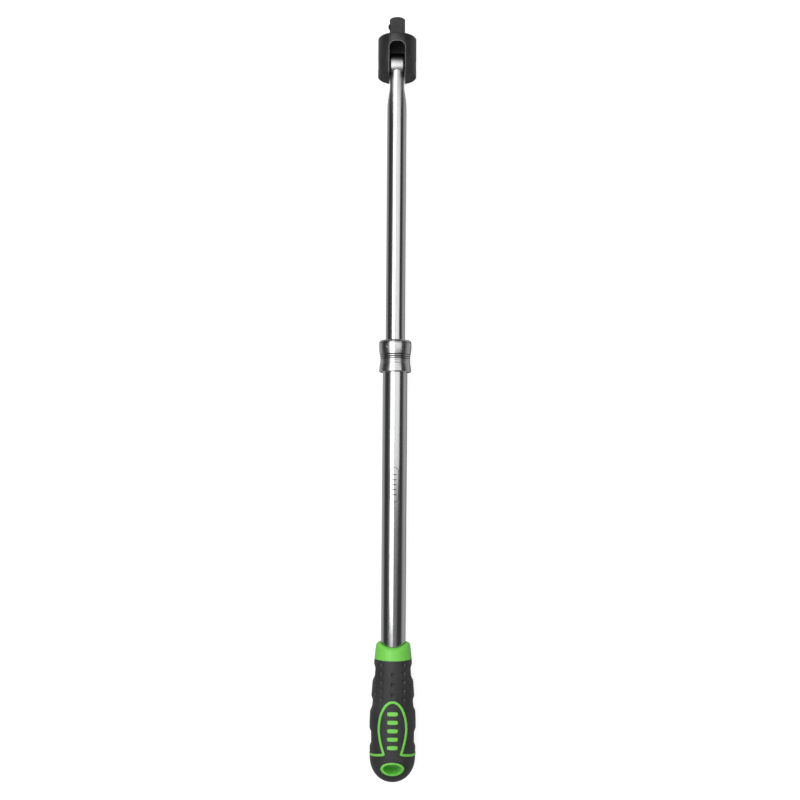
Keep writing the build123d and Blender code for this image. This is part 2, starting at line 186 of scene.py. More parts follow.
class Shader:
    def __init__(self, owner, surface="Principled BSDF"):
        self.owner = owner
        owner.use_nodes = True
        self.tree = owner.node_tree
        self.surface = self.tree.nodes[surface]

    def add(self, kind, settings=None, inputs=None):
        node = self.tree.nodes.new("ShaderNode" + kind)
        for key, value in (settings or {}).items():
            if key == "stops":
                self.setStops(node.color_ramp.elements, value)
            else:
                setattr(node, key, value)
        for key, value in (inputs or {}).items():
            self.feed(node.inputs[key], value)
        return [Socket(self, output) for output in node.outputs]

    def setStops(self, elements, stops):
        while len(elements) < len(stops):
            elements.new(0.5)
        for element, (position, level) in zip(elements, stops):
            element.position = position
            element.color = grey(level)

    def feed(self, target, value):
        if isinstance(value, Socket):
            self.tree.links.new(value.link, target)
        else:
            target.default_value = value

    def set(self, **inputs):
        for key, value in inputs.items():
            self.feed(self.surface.inputs[key.replace("_", " ")], value)
        return self.owner

    def place(self, stretch=(1, 1, 1)):
        spot = self.add("TexCoord")[3]
        return self.add("Mapping", None, {"Vector": spot, "Scale": stretch})[0]

    def noise(self, scale, stretch=(1, 1, 1), detail=3, roughness=0.5):
        inputs = {"Vector": self.place(stretch), "Scale": scale, "Detail": detail, "Roughness": roughness}
        return self.add("TexNoise", None, inputs)[0]

    def range(self, value, low, high, start=0.0, end=1.0):
        inputs = {0: value, 1: start, 2: end, 3: low, 4: high}
        return self.add("MapRange", None, inputs)[0]

    def mix(self, factor, first, second):
        return self.add("Mix", {"data_type": "RGBA"}, {0: factor, 6: first, 7: second})[2]

    def split(self):
        return self.add("SeparateXYZ", None, {0: self.add("TexCoord")[3]})

    def absolute(self, value):
        return self.add("Math", {"operation": "ABSOLUTE"}, {0: value})[0]

    def bump(self, height, distance, strength=1.0):
        return self.add("Bump", None, {"Height": height, "Distance": distance, "Strength": strength})[0]


def grey(value, blue=0.0):
    return (value, value, value + blue, 1)


def newShader(name):
    return Shader(bpy.data.materials.new(name))


head = {
    "radius": 15.875, "length": 33.0, "edge": 0.9, "web": 7.2, "slot": 13.0, "slotCorner": 4.6,
    "square": 12.7, "squareLength": 16.1, "squareCorner": 8.35, "tip": 2.2, "tipRadius": 5.8,
    "pin": 4.0, "pinBack": 22.6, "ballOut": 9.8, "ballHole": 2.62, "edgeRound": 0.5,
}


# dark all over with random mottling, a painted highlight as a pale line along the slot's edge, and painted
# shade making the inside of the slot black
def makePhosphate():
    finish = {
        "colour": grey(0.015, 0.0003), "worn": grey(0.042, 0.0005), "edge": grey(0.2, 0.004),
        "slotPaintedShade": grey(0.002), "rough": (0.36, 0.55), "grain": 0.035 * mm,
        "highlightLineWidth": 0.6, "slotRoughening": 0.4,
    }
    shader = newShader("phosphatedSteel")
    cloud = shader.noise(90, detail=5, roughness=0.65)
    grain = shader.noise(2600, detail=2)
    rings = shader.noise(700, stretch=(1, 0.03, 0.03))
    body = shader.mix(shader.range(cloud, 0, 1, 0.35, 0.75), finish["colour"], finish["worn"])
    # painted highlight: a pale line, mottled by the cloud, along the slot's rounded edge
    x, y, z = shader.split()
    bend = head["slotCorner"]
    ahead = shader.add("Math", {"operation": "MAXIMUM"}, {0: x + (head["web"] + bend) * mm, 1: 0.0})[0]
    beside = shader.absolute(y) - (head["slot"] / 2 - bend) * mm
    beside = shader.add("Math", {"operation": "MAXIMUM"}, {0: beside, 1: 0.0})[0]
    reach = shader.add("Math", {"operation": "SQRT"}, {0: ahead * ahead + beside * beside})[0]
    edge = reach < (bend + finish["highlightLineWidth"]) * mm
    # painted shade: the marked slot walls are coloured near black and made rougher
    inside = shader.add("Attribute", {"attribute_name": "slot"})[2]
    colour = shader.mix(edge * shader.range(cloud, 0.5, 1, 0.4, 0.6), body, finish["edge"])
    return shader.set(
        Base_Color=shader.mix(inside, colour, finish["slotPaintedShade"]),
        Metallic=0.0,
        Roughness=shader.range(cloud, *finish["rough"]) + inside * finish["slotRoughening"],
        Normal=shader.bump(grain * 0.7 + rings * 0.3, finish["grain"]),
    )


def makePolished(name, colour, roughness, streak, grain):
    shader = newShader(name)
    streaks = shader.noise(900, stretch=(0.02, 1, 1), detail=4)
    smudge = shader.noise(22, detail=4, roughness=0.6)
    spread = shader.range(streaks * 0.4 + smudge * 0.6, roughness - streak, roughness + streak, 0.25, 0.75)
    shader.set(Base_Color=colour, Metallic=1.0, Roughness=spread, Normal=shader.bump(streaks, grain))
    return shader, spread


# the forged eye and neck keep a satin skin, with painted shade darkening the eye's front, and the stem is
# polished
def makeRodChrome():
    shader, spread = makePolished("polishedRod", grey(0.52, 0.004), 0.16, 0.03, 0.003 * mm)
    x = shader.split()[0]
    satin = shader.range(x, 0, 0.2, -70 * mm, -36 * mm)
    # painted shade: the base colour darkens toward the eye's front
    eyePaintedShade = shader.range(x, 0, 1, -25 * mm, -17.5 * mm)
    return shader.set(Base_Color=shader.mix(eyePaintedShade, grey(0.52, 0.004), grey(0.07)), Roughness=spread + satin)


def makeTubeChrome():
    mark = {"middle": -371, "length": 29, "width": 7.6, "line": 0.45, "bars": 5, "etched": grey(0.16)}
    shader, spread = makePolished("tubeChrome", grey(0.53, 0.004), 0.18, 0.04, 0.004 * mm)
    x, y, z = shader.split()
    along = shader.absolute(x - mark["middle"] * mm)
    across = shader.absolute(y)
    halfWidth = mark["width"] / 2 * mm
    halfLength = mark["length"] / 2 * mm
    line = mark["line"] * mm
    past = shader.add("Math", {"operation": "MAXIMUM"}, {0: along - (halfLength - halfWidth), 1: 0.0})[0]
    reach = shader.add("Math", {"operation": "SQRT"}, {0: past * past + across * across})[0]
    rim = (reach < halfWidth) * (reach > halfWidth - line)
    pitch = mark["length"] / (mark["bars"] + 2) * mm
    wave = shader.add("Math", {"operation": "PINGPONG"}, {0: along, 1: pitch / 2})[0]
    bars = (wave < line) * (across < halfWidth * 0.5) * (along < halfLength - halfWidth)
    etched = shader.add("Math", {"operation": "MAXIMUM"}, {0: rim, 1: bars})[0] * (z > 0.0)
    return shader.set(Base_Color=shader.mix(etched, grey(0.53, 0.004), mark["etched"]))


# turned rings, with painted shade in the deeper grooves at (x, half width, share)
def makeCollarSteel():
    finish = {"paintedGrooveShade": ((-253.6, 0.3, 0.6), (-263.2, 0.36, 1.0), (-265.0, 0.36, 1.0), (-266.7, 0.26, 0.8))}
    shader = newShader("collarSteel")
    rings = shader.noise(1500, stretch=(1, 0.02, 0.02), detail=3)
    smudge = shader.noise(40, detail=4)
    x = shader.split()[0]
    # painted shade: a thin dark band at each deeper groove
    grooveShade = 0.0
    for place, halfWidth, share in finish["paintedGrooveShade"]:
        grooveShade = (shader.absolute(x - place * mm) < halfWidth * mm) * share + grooveShade
    return shader.set(
        Base_Color=shader.mix(grooveShade, grey(0.5, 0.004), grey(0.1)),
        Metallic=1.0,
        Roughness=shader.range(rings * 0.5 + smudge * 0.5, 0.18, 0.3, 0.3, 0.7),
        Normal=shader.bump(rings, 0.004 * mm),
    )


def makeGreenPlastic():
    shader = newShader("greenPlastic")
    cloud = shader.noise(60, detail=3)
    grain = shader.noise(1800, detail=3)
    dull, bright = (0.22, 0.8, 0.1, 1), (0.255, 0.86, 0.12, 1)
    colour = shader.mix(shader.range(cloud, 0, 1, 0.3, 0.7), dull, bright)
    return shader.set(
        Base_Color=colour,
        Roughness=shader.range(grain, 0.36, 0.5),
        Normal=shader.bump(grain, 0.012 * mm),
        Subsurface_Weight=0.06,
        Subsurface_Scale=0.002,
    )


def makeRubber():
    shader = newShader("gripRubber")
    dust = shader.noise(70, detail=5, roughness=0.6)
    grain = shader.noise(1200, detail=4, roughness=0.65)
    colour = shader.mix(shader.range(dust, 0, 1, 0.35, 0.7), grey(0.032, 0.0005), grey(0.048, 0.001))
    return shader.set(
        Base_Color=colour,
        Roughness=shader.range(dust, 0.48, 0.64),
        Normal=shader.bump(grain, 0.1 * mm),
    )


def makePlainMetal(name, colour, roughness):
    shader = newShader(name)
    cloud = shader.noise(240, detail=4)
    return shader.set(
        Base_Color=colour,
        Metallic=1.0,
        Roughness=shader.range(cloud, roughness - 0.06, roughness + 0.08, 0.3, 0.7),
        Normal=shader.bump(cloud, 0.004 * mm),
    )


def makeBlackPlastic():
    shader = newShader("blackPlastic")
    grain = shader.noise(1400, detail=2)
    return shader.set(
        Base_Color=grey(0.02),
        Roughness=shader.range(grain, 0.4, 0.55),
        Normal=shader.bump(grain, 0.01 * mm),
    )


finishes = {
    "phosphated_steel": makePhosphate(),
    "polished_steel": makeRodChrome(),
    "satin_chrome": makeTubeChrome(),
    "collar_chrome": makeCollarSteel(),
    "green_plastic": makeGreenPlastic(),
    "grip_rubber": makeRubber(),
    "black_plastic": makeBlackPlastic(),
    "bearing_bronze": makePlainMetal("bearingBronze", (0.55, 0.33, 0.13, 1), 0.35),
    "ball_steel": makePlainMetal("ballSteel", grey(0.6), 0.14),
    "spring_steel": makePlainMetal("springSteel", grey(0.32), 0.35),
    "plain_steel": makePlainMetal("plainSteel", grey(0.42), 0.38),
    "pin_steel": makePlainMetal("pinSteel", grey(0.2), 0.4),
}
print("finishes made:", len(finishes))


def finishPiece(obj, slotName, body, *nodes):
    obj.data.materials.clear()
    obj.data.materials.append(finishes[slotName])
    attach(obj, body)
    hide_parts(*nodes)
    print("made", obj.name, "faces", len(obj.data.polygons))
    return obj


def makeHead():
    r, back, edge = head["radius"], -head["length"], head["edge"]
    barrel = lathe("driveHead", [
        (back, 0), (back, r - edge), (back + edge, r), (-edge, r), (0, r - edge), (0, 0),
    ], 160)

    # the slot for the rod's eye, its inner corners rounded
    slotLength = head["length"] - head["web"] + 4
    bpy.ops.mesh.primitive_cube_add(size=1, location=((-head["web"] - slotLength / 2) * mm, 0, 0))
    slot = named("slotCutter")
    slot.scale = (slotLength * mm, head["slot"] * mm, 4 * r * mm)
    placeInMesh(slot)
    bpy.ops.object.mode_set(mode="EDIT")
    bpy.ops.mesh.select_mode(type="EDGE")
    bpy.ops.mesh.select_all(action="DESELECT")
    bpy.ops.object.mode_set(mode="OBJECT")
    points = slot.data.vertices
    for line in slot.data.edges:
        a, b = (points[k].co for k in line.vertices)
        line.select = min(a.x, b.x) > -head["web"] * 1.01 * mm and abs(a.z - b.z) > mm
    bpy.ops.object.mode_set(mode="EDIT")
    bpy.ops.mesh.bevel(offset=head["slotCorner"] * mm, segments=10)
    bpy.ops.object.mode_set(mode="OBJECT")
    cut(barrel, slot)

    # the drive square: turned corners and a coned tip, then flats
    root = -head["edge"] - 2
    tang = lathe("tangTurning", [
        (root, 0), (root, head["squareCorner"]),
        (head["squareLength"] - head["tip"], head["squareCorner"]),
        (head["squareLength"], head["tipRadius"]), (head["squareLength"], 0),
    ], 160)
    bpy.ops.mesh.primitive_cube_add(size=1, location=(head["squareLength"] * mm, 0, 0))
    flats = named("flatsCutter")
    flats.scale = (80 * mm, head["square"] * mm, head["square"] * mm)
    placeInMesh(flats)
    cut(tang, flats, "INTERSECT")
    cut(barrel, tang, "UNION")

    # bores for the pin and for the ball in the square
    for name, radius, x, y, depth in (
        ("pinCutter", head["pin"] + 0.02, -head["pinBack"], 0, 60),
        ("ballCutter", head["ballHole"], head["ballOut"], head["square"] / 2, 2 * 4),
    ):
        bpy.ops.mesh.primitive_cylinder_add(
            vertices=64, radius=radius * mm, depth=depth * mm,
            location=(x * mm, y * mm, 0), rotation=(math.pi / 2, 0, 0))
        cutter = placeInMesh(named(name))
        cut(barrel, cutter)
    tidyMesh(barrel)
    for slotName in ("phosphated_steel", "plain_steel"):
        barrel.data.materials.append(finishes[slotName])
    applied(barrel, "BEVEL", width=head["edgeRound"] * mm, segments=3, limit_method="ANGLE",
            angle_limit=math.radians(34), material=1)

    # the slot's walls are marked, so that the material can paint shade there
    faces = barrel.data.polygons
    reach = head["slot"] / 2 + 0.01
    inside = [float(face.material_index == 0 and abs(face.center.y) < reach * mm and face.center.x < -6.9 * mm
                    and abs(face.normal.y) + abs(face.normal.x) > 0.9) for face in faces]
    barrel.data.attributes.new("slot", "FLOAT", "FACE").data.foreach_set("value", inside)
    for face in faces:
        face.material_index = 0
    smooth(barrel, 30)
    return finishPiece(barrel, "phosphated_steel", "head", "drive_head")


makeHead()


rod = {
    "eye": 10.0, "eyeWidth": 12.8, "eyeRound": 2.0, "eyeBack": 22.6, "neckDepth": 8.3, "neckWidth": 11.2,
    "neckBack": 42.5, "fullBack": 62.5, "radius": 8.0, "endBack": 322, "bore": 4.05,
    "wayDepth": 0.8, "seatDepth": 0.85, "cutter": 2.35, "lockBack": 261.5, "travel": 185, "seats": 7,
}


def easing(t):
    t = np.clip(t, 0, 1)
    return t * t * (3 - 2 * t)


# a round bar whose sides are flat near the eye
def rodSection(x, turn):
    back = -x
    swell = easing((back - rod["neckBack"] + 5) / (rod["fullBack"] - rod["neckBack"] + 7))
    shoulder = np.clip((back - 32.6) / 10, 0, 1)
    halfWidth = rod["eyeWidth"] / 2 * (1 - shoulder) + rod["neckWidth"] / 2 * shoulder
    halfWidth = halfWidth * (1 - swell) + rod["radius"] * swell
    halfDepth = rod["neckDepth"] * (1 - swell) + rod["radius"] * swell
    across, up = halfDepth * np.sin(turn), halfDepth * np.cos(turn)
    flat = across / (1 + np.abs(across / halfWidth) ** 12) ** (1 / 12)
    return flat * (1 - swell) + across * swell, up


def makeRod():
    stations = np.concatenate([
        np.linspace(-rod["eyeBack"] - 1, -68, 70),
        np.linspace(-72, -rod["endBack"] + 0.5, 60),
        [-rod["endBack"]],
    ])
    rows = len(stations) + 1
    columns = 96

    def place(row, column):
        turn = 2 * np.pi * column / columns
        inner = (row == 0) | (row == rows)
        x = stations[np.clip(row - 1, 0, len(stations) - 1)]
        y, z = rodSection(x, turn)
        size = np.where(inner, 0, np.where(row == rows - 1, 1 - 0.5 / rod["radius"], 1))
        return np.stack([x, y * size, z * size], axis=1)

    stem = wrappedGrid("rodStem", rows, columns, place)
    bpy.ops.mesh.primitive_cylinder_add(
        vertices=128, radius=rod["eye"] * mm, depth=rod["eyeWidth"] * mm,
        location=(-rod["eyeBack"] * mm, 0, 0), rotation=(math.pi / 2, 0, 0))
    eye = placeInMesh(named("rodEye"))
    applied(eye, "BEVEL", width=rod["eyeRound"] * mm, segments=12, limit_method="ANGLE",
            angle_limit=math.radians(60))
    cut(stem, eye, "UNION")
    bpy.ops.mesh.primitive_cylinder_add(
        vertices=64, radius=rod["bore"] * mm, depth=30 * mm,
        location=(-rod["eyeBack"] * mm, 0, 0), rotation=(math.pi / 2, 0, 0))
    cut(stem, placeInMesh(named("boreCutter")))

    # keyway along the underside and a deeper seat at every lock position
    size = rod["cutter"]
    wayCentre = rod["radius"] - rod["wayDepth"] + size
    seatCentre = rod["radius"] - rod["wayDepth"] - rod["seatDepth"] + size
    lastBack = rod["lockBack"] - rod["travel"]
    wayOutline = corner(-rod["lockBack"], 0, size, 180, 90) + corner(-lastBack, 0, size, 90, 0)
    way = lathe("wayCutter", wayOutline, 32)
    pick(way)
    way.location = (0, 0, -wayCentre * mm)
    placeInMesh(way)
    cut(stem, way)
    for seat in range(rod["seats"]):
        back = rod["lockBack"] - seat * rod["travel"] / (rod["seats"] - 1)
        bpy.ops.mesh.primitive_uv_sphere_add(
            segments=32, ring_count=16, radius=size * mm, location=(-back * mm, 0, -seatCentre * mm))
        cut(stem, placeInMesh(named("seatCutter")))
    tidyMesh(stem)
    stem.name = "slidingRod"
    smooth(stem, 35)
    return finishPiece(stem, "polished_steel", "rod", "sliding_rod")


makeRod()


tube = {
    "radius": 10.25, "bore": 8.7, "front": -257.6, "end": -592, "edge": 0.5,
    "groove": (-275.15, -273.95, 9.75),
}


def makeTube():
    r, bore, front, end, edge = tube["radius"], tube["bore"], tube["front"], tube["end"], tube["edge"]
    low, high, floor = tube["groove"]
    outline = corner(end + edge, r - edge, edge, 180, 90, 4) + [
        (low, r), (low, floor), (high, floor), (high, r),
    ] + corner(front - edge, r - edge, edge, 90, 0, 4) + [(front, bore), (end, bore), (end, r - edge)]
    shell = lathe("handleTube", outline, 160)
    bpy.ops.mesh.primitive_cylinder_add(
        vertices=48, radius=rod["cutter"] * mm, depth=10 * mm,
        location=(-rod["lockBack"] * mm, 0, -10 * mm))
    cut(shell, placeInMesh(named("ballHoleCutter")))
    smooth(tidyMesh(shell), 30)
    return finishPiece(shell, "satin_chrome", "handle", "handle_tube")


makeTube()


collar = {
    "front": -251.1, "rear": -277.8, "lipBore": 8.6, "big": 13.5, "waist": 12.4, "waistAt": -268.2,
    "rearRadius": 13.3, "round": 2.5, "rearRound": 0.9, "grooveHalf": 0.36,
    "grooves": (
        (-253.6, 0.2), (-263.2, 0.5), (-265.0, 0.5), (-266.7, 0.3), (-268.3, 0.16), (-269.9, 0.16),
    ),
    "inside": [(-275.15, 11.92), (-275.15, 11.5), (-266.1, 11.5), (-266.1, 10.35), (-264.6, 10.35),
               (-257.2, 12.0), (-253.1, 12.0), (-253.1, 8.6)],
    "arrow": {"x": -257.0, "height": 13.9, "size": 1.5, "depth": 2, "turn": 28},
}


def collarRadius(x):
    start, end = collar["front"] - 5.4, collar["rear"] + 1.4
    if x > start:
        return collar["big"]
    if x > collar["waistAt"]:
        t = (start - x) / (start - collar["waistAt"])
        return collar["big"] + (collar["waist"] - collar["big"]) * float(easing(t))
    t = min(1.0, (collar["waistAt"] - x) / (collar["waistAt"] - end))
    return collar["waist"] + (collar["rearRadius"] - collar["waist"]) * float(easing(t))


def makeCollar():
    front, rear, size = collar["front"], collar["rear"], collar["round"]
    edge = collar["rearRound"]
    outside = corner(rear + edge, collar["rearRadius"] - edge, edge, 180, 90, 6)
    stops = [rear + 1.4 + 0.45 * k for k in range(int((front - size - rear - 1.4) / 0.45))]
    for x in stops:
        if min(abs(x - groove[0]) for groove in collar["grooves"]) > 2 * collar["grooveHalf"]:
            outside.append((x, collarRadius(x)))
    half = collar["grooveHalf"]
    for middle, depth in collar["grooves"]:
        for shift, share in ((-1.5, 0), (-0.9, 0.25), (-0.5, 1), (0.5, 1), (0.9, 0.25), (1.5, 0)):
            x = middle + shift * half
            outside.append((x, collarRadius(x) - share * depth))
    outside = sorted(outside, key=lambda place: place[0])
    lip = corner(front - size, collar["big"] - size, size, 90, 0, 10)
    inner = corner(front - 0.4, collar["lipBore"] + 0.4, 0.4, 0, -90, 4)
    outline = outside + lip + inner + list(reversed(collar["inside"])) + [(rear, 11.92), outside[0]]
    shell = lathe("lockCollar", outline, 160)

    # a plain arrow cut into the front
    arrow = collar["arrow"]
    bpy.ops.mesh.primitive_cylinder_add(
        vertices=3, radius=arrow["size"] * mm, depth=arrow["depth"] * mm,
        location=(arrow["x"] * mm, 0, arrow["height"] * mm), rotation=(0, 0, math.pi / 2))
    cutter = placeInMesh(named("arrowCutter"))
    bpy.ops.transform.rotate(value=math.radians(arrow["turn"]), orient_axis="X", center_override=(0, 0, 0))
    placeInMesh(cutter)
    cut(shell, cutter)
    smooth(tidyMesh(shell), 28)
    return finishPiece(shell, "collar_chrome", "collar", "lock_collar")


makeCollar()


grip = {
    "mouth": -505.2, "mouthDip": 25.0, "mouthRound": 3.2, "ringEnd": -515.6, "bore": 10.27, "core": 12.3,
    "tail": -597.0, "end": -618.4, "endPower": 2.1, "liningEnd": -594,
    "flatShare": 0.125, "flatFrom": -518, "flatOver": 40,
    "flank": [(-618, 18.95), (-597, 18.95), (-582, 19.15), (-567, 19.2), (-559.8, 18.9), (-547, 17.9),
              (-534.8, 17.0), (-519.8, 15.8), (-512.3, 15.15), (-502, 13.95), (-495, 13.2)],
    "scallops": [(-518.8, -524.8, -529.8, -535.0, 1.5), (-546.0, -550.6, -554.8, -560.2, 1.4),
                 (-572.5, -577.5, -584.8, -589.0, 1.25)],
    "dimpleLong": 4.8, "dimpleHalf": 1.6, "dimpleDeep": 1.35,
    "lineHalf": 1.06, "lineProud": 0.34, "lineRound": 0.4,
    "archTip": -549.1, "archWide": -572.0, "archHalf": 11.35,
    "foot": -592.0, "footHalf": 7.1, "sideLine": -594.6,
    "hole": (-604.3, 4.15, 7.4), "eyelet": 2.1,
}


def flankRadius(x):
    spots = np.array(sorted(grip["flank"]))
    at, size = spots[:, 0], spots[:, 1]
    slope = np.gradient(size, at)
    k = np.clip(np.searchsorted(at, x) - 1, 0, len(at) - 2)
    gap = at[k + 1] - at[k]
    t = np.clip((x - at[k]) / gap, 0, 1)
    flank = ((2 * t**3 - 3 * t**2 + 1) * size[k] + (t**3 - 2 * t**2 + t) * gap * slope[k]
             + (3 * t**2 - 2 * t**3) * size[k + 1] + (t**3 - t**2) * gap * slope[k + 1])
    reach = np.clip((grip["tail"] - x) / (grip["tail"] - grip["end"]), 0, 1)
    power = grip["endPower"]
    return flank * (1 - reach**power) ** (1 / power)


def halfDepth(x):
    return flankRadius(x) * (1 - grip["flatShare"] * easing((grip["flatFrom"] - x) / grip["flatOver"]))


def surfacePoint(x, turn, lift=0.0):
    y = (flankRadius(x) + lift) * np.sin(turn)
    z = (halfDepth(x) + lift) * np.cos(turn)
    return np.stack([x + 0 * y, y, z], axis=-1)


def topHeight(x, y):
    share = np.clip(1 - (y / flankRadius(x)) ** 2, 0, 1)
    return halfDepth(x) * np.sqrt(share)


# shallow dishes at the sides, where the fingers lie
def scallopDepth(x, turn):
    side = easing((np.abs(np.sin(turn)) - 0.86) / 0.11)
    depth = 0 * x
    for begin, full, leave, stop, deep in grip["scallops"]:
        depth = depth + deep * easing((begin - x) / (begin - full)) * easing((x - stop) / (leave - stop))
    return depth * side


# teardrop dimples: steep toward the mouth, running out toward the end
def dimpleDepth(x, turn):
    depth = 0 * x
    columns = [(0, -527.3, 8.3, 3)]
    for way in (-1, 1):
        columns += [(way * 9.0, -519.2, 7.1, 5), (way * 14.3, -523.0, 7.1, 5)]
    for across, first, pitch, count in columns:
        for step in range(count):
            head0 = first + grip["dimpleLong"] * 0.4 - step * pitch
            centre = math.asin(min(0.98, across / float(flankRadius(np.array([head0]))[0])))
            t = (head0 - x) / grip["dimpleLong"]
            for base in (centre, math.pi - centre):
                gap = np.angle(np.exp(1j * (turn - base))) * flankRadius(x)
                wide = grip["dimpleHalf"] * np.clip(1 - t, 0, 1) ** 0.6 + 0.05
                bowl = np.clip(1 - (gap / wide) ** 2, 0, 1)
                fall = easing(t / 0.16) * (1 - easing(t * 0.95))
                depth = np.maximum(depth, grip["dimpleDeep"] * bowl * fall * (t > 0) * (t < 1))
    return depth


def gripSkin(x, turn):
    depth = scallopDepth(x, turn) + dimpleDepth(x, turn)
    spot = surfacePoint(x, turn)
    spot[:, 1] -= depth * np.sin(turn)
    spot[:, 2] -= depth * np.cos(turn)
    return spot


# plan of the raised line: half an ellipse, sides that draw in, then out to the sides
def linePath():
    tip, wide, foot = grip["archTip"], grip["archWide"], grip["foot"]
    half, footHalf = grip["archHalf"], grip["footHalf"]
    crown = [(wide + (tip - wide) * math.sin(a), half * math.cos(a)) for a in np.linspace(0, np.pi / 2, 40)]
    sides = []
    for t in np.linspace(0, 1, 24)[1:]:
        sides.append((wide + (foot - wide) * t, half + (footHalf - half) * (t**1.7)))
    quarter = [(x, y) for x, y in reversed(sides)] + crown
    turns = [(x, math.asin(y / float(flankRadius(np.array([x]))[0]))) for x, y in quarter]
    arch = turns + [(x, -turn) for x, turn in reversed(turns[:-1])]
    footTurn = turns[0][1]
    across = []
    for t in np.linspace(0, 1, 60)[1:-1]:
        turn = -footTurn - (math.pi - 2 * footTurn) * t
        drop = math.sin(math.pi * t) ** 0.8
        across.append((foot + (grip["sideLine"] - foot) * drop, turn))
    front = arch + across
    back = [(x, turn - math.pi) for x, turn in front]
    return front + back


def makeLine():
    path = np.array(linePath())
    count = len(path)
    x, turn = path[:, 0], np.unwrap(path[:, 1])
    middle = surfacePoint(x, turn)
    tangent = np.roll(middle, -1, axis=0) - np.roll(middle, 1, axis=0)
    tangent /= np.linalg.norm(tangent, axis=1)[:, None]
    small = 0.01
    alongX = surfacePoint(x + small, turn) - surfacePoint(x - small, turn)
    around = surfacePoint(x, turn + small) - surfacePoint(x, turn - small)
    normal = np.cross(alongX, around)
    normal /= np.linalg.norm(normal, axis=1)[:, None]
    outward = np.sign(np.sum(normal * (middle * [0, 1, 1]), axis=1))
    normal *= outward[:, None]
    side = np.cross(normal, tangent)
    half, proud, edge = grip["lineHalf"], grip["lineProud"], grip["lineRound"]
    profile = [(-half, -1.4), (-half, proud - edge)]
    for a in (0.5, 1.0, 1.57):
        profile.append((-half + edge * (1 - math.cos(a)), proud - edge + edge * math.sin(a)))
    profile += [(-w, h) for w, h in reversed(profile)]
    profile = np.array(profile)

    def place(row, column):
        k = row % count
        w, h = profile[column % len(profile)].T
        return middle[k] + side[k] * w[:, None] + normal[k] * h[:, None]

    return wrappedGrid("gripLine", count, len(profile), place)


def makeEyelet():
    middle, halfX, halfY = grip["hole"]
    wall, proud = grip["eyelet"], grip["lineProud"]
    rim = [
        (1.0, -2.5), (1.0, proud - 0.4), (0.94, proud - 0.1), (0.84, proud),
        (0.3, proud), (0.14, proud - 0.12), (0.03, proud - 0.5), (0.0, proud - 1.2),
    ]
    columns = 96
    rows = 2 * len(rim)

    def place(row, column):
        turn = 2 * np.pi * column / columns
        k = row % rows
        below = k >= len(rim)
        index = np.where(below, 2 * len(rim) - 1 - k, k)
        share = np.array([r[0] for r in rim])[index]
        lift = np.array([r[1] for r in rim])[index]
        x = middle + (halfX + wall * share * 0.85) * np.cos(turn)
        y = (halfY + wall * share * 1.15) * np.sin(turn)
        z = (topHeight(x, y) + lift) * np.where(below, -1, 1)
        return np.stack([x, y, z], axis=1)

    return wrappedGrid("gripEyelet", rows, columns, place)


# plain rounded bars, raised as high as the line
def makeMarks():
    bars = {
        "count": 5, "first": -558.7, "pitch": 6.9, "halfLong": 1.7, "halfWide": 4.4, "corner": 1.2,
    }
    steps = [(0, 0), (0.35, 0), (0.65, 0), (0.86, 0), (0.95, -0.04), (0.99, -0.14), (1.0, -0.3), (1.0, -2)]
    share, lift = np.array(steps).T
    columns = 72
    made = []
    for side in (1, -1):
        for index in range(bars["count"]):
            middle = bars["first"] - index * bars["pitch"]

            def place(row, column):
                turn = 2 * np.pi * (column + 0.5) / columns
                along, across = np.cos(turn), np.sin(turn)
                x = (bars["halfLong"] - bars["corner"]) * np.sign(along) + bars["corner"] * along
                y = (bars["halfWide"] - bars["corner"]) * np.clip(across * 1.6, -1, 1)
                y = y + bars["corner"] * across
                x = middle + x * share[row]
                y = y * share[row]
                z = side * (topHeight(x, y) + grip["lineProud"] + lift[row])
                return np.stack([x, y, z], axis=1)

            made.append(wrappedGrid("gripMark", len(steps) - 1, columns, place))
    return made


def mouthEdge(turn):
    y = 12.5 * np.sin(turn)
    radius = grip["mouthDip"]
    return grip["mouth"] + radius - np.sqrt(radius**2 - y**2)


def makeRing():
    size = grip["mouthRound"]
    curve = 12
    columns = 160
    stations = curve + 10

    def place(row, column):
        turn = 2 * np.pi * column / columns
        k = row % (stations + 2)
        front = mouthEdge(turn)
        roll = np.clip(k / curve, 0, 1) * np.pi / 2
        along = np.clip((k - curve) / 9, 0, 1)
        x = np.where(k <= curve, front - size * (1 - np.cos(roll)), front - size)
        x = x + (grip["ringEnd"] - (front - size)) * along
        x = np.where(k > stations - 1, grip["ringEnd"], x)
        outer = surfacePoint(x, turn)
        shrink = (1 - np.sin(roll)) * size
        radius = np.hypot(outer[:, 1], outer[:, 2])
        radius = np.where(k <= curve, radius - shrink, radius)
        radius = np.where(k >= stations, grip["core"] - 0.1, radius)
        x = np.where(k == stations + 1, front - 0.6, x)
        radius = np.where(k == stations + 1, grip["bore"], radius)
        x = np.where(k == 0, front - 0.05, x)
        return np.stack([x, radius * np.sin(turn), radius * np.cos(turn)], axis=1)

    return wrappedGrid("gripRing", stations + 2, columns, place)


def makeCore():
    inner = lathe("gripCoreBody", [
        (grip["ringEnd"] + 1, grip["bore"]), (grip["ringEnd"] + 1, grip["core"] - 0.2),
        (grip["liningEnd"], grip["core"] - 0.2), (grip["liningEnd"], grip["bore"]),
        (grip["ringEnd"] + 1, grip["bore"]),
    ], 96)
    core = join("gripCore", [makeRing(), inner, makeLine(), makeEyelet()] + makeMarks())
    smooth(core, 40)
    return finishPiece(core, "green_plastic", "handle", "grip_core")


def ovalCutter(extra):
    middle, halfX, halfY = grip["hole"]
    bpy.ops.mesh.primitive_cylinder_add(vertices=96, radius=1, depth=60 * mm, location=(middle * mm, 0, 0))
    post = named("holeCutter")
    post.scale = ((halfX + extra) * mm, (halfY + extra) * mm, 1)
    return placeInMesh(post)


